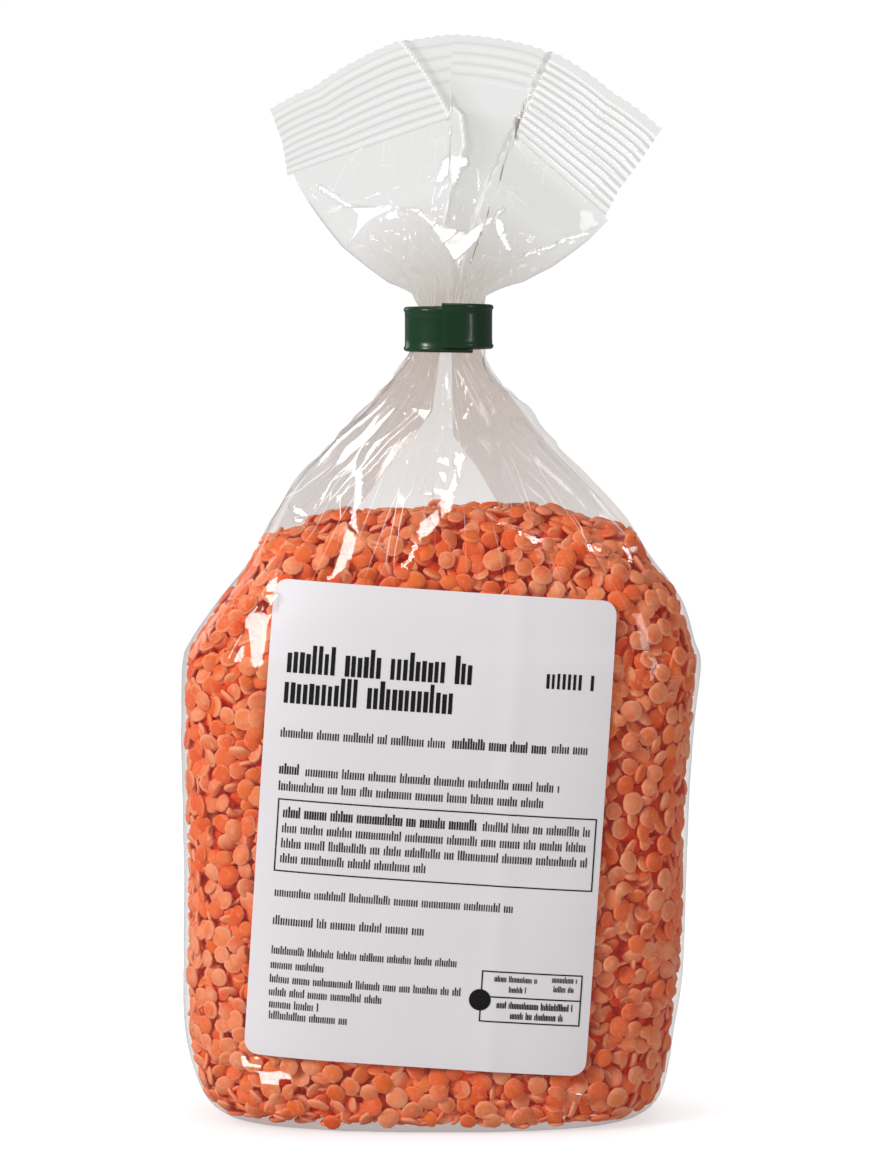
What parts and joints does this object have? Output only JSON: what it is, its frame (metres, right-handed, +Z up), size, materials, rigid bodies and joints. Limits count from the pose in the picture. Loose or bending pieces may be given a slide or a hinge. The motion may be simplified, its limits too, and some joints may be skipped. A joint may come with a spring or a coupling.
{
  "type": "bag of lentils",
  "caption": "Clear film bag of split red lentils with a label on its front, its neck gathered in a green clip band under a ribbed seal.",
  "frame": {"origin": "under the middle of the whole bag's box, on the plane it stands on", "axes": "+Z up from the base to the seal, +X to the right of someone who faces the label, -Y out of the labelled front"},
  "size_m": [0.1124, 0.0568, 0.2343],
  "materials": {
    "lentils": "dry, matt, with floury patches",
    "clear_film": "thin clear glossy film",
    "label_paper": "coated paper",
    "label_ink": "flat black print",
    "green_plastic": "glossy soft plastic over wire"
  },
  "bodies": {
    "root": {"bag": "lentils", "label": "label_paper", "clip_band": "green_plastic"}
  },
  "joints": []
}
